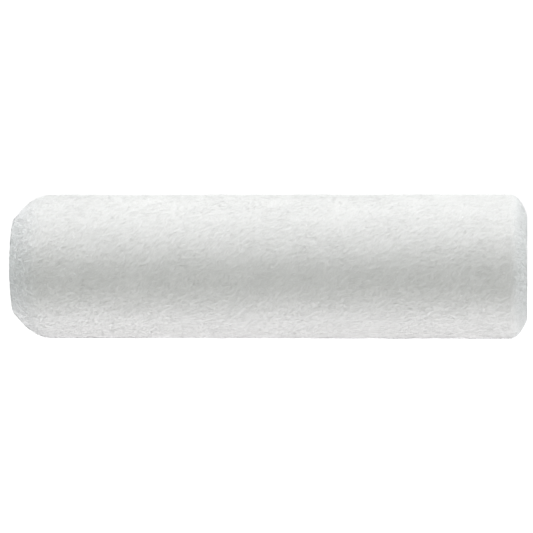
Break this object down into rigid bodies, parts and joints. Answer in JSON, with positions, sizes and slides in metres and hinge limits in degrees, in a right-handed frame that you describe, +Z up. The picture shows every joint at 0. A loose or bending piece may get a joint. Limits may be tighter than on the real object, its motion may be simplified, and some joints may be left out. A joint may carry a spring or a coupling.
{
  "type": "paint roller cover",
  "caption": "Replaceable paint roller sleeve: a thick white pile, rounded over at its ends, on a thin-walled open plastic core.",
  "frame": {"origin": "middle of the core's bore: on its axis, halfway along the core", "axes": "+X along the bore's axis, towards the end whose pile has the short rounding, so the deeply rounded end is at -X; +Z up, with the sleeve lying on its side"},
  "size_m": [0.2316, 0.0652, 0.0652],
  "materials": {
    "core_plastic": "natural polypropylene strip, milky, satin, with faint lines along the strip",
    "bond_plastic": "solidified melt film, semi-gloss, slightly uneven",
    "ground_cloth": "plain ground cloth of polyester yarn, matte",
    "pile_fibre": "dense white synthetic pile, soft and matte, in fine clumps that lean over to one side"
  },
  "bodies": {
    "root": {"core_inner_strip": "core_plastic", "core_bond_layer": "bond_plastic", "core_outer_strip": "core_plastic", "fabric_bond_layer": "bond_plastic", "fabric_backing_strip": "ground_cloth", "pile": "pile_fibre"}
  },
  "joints": []
}
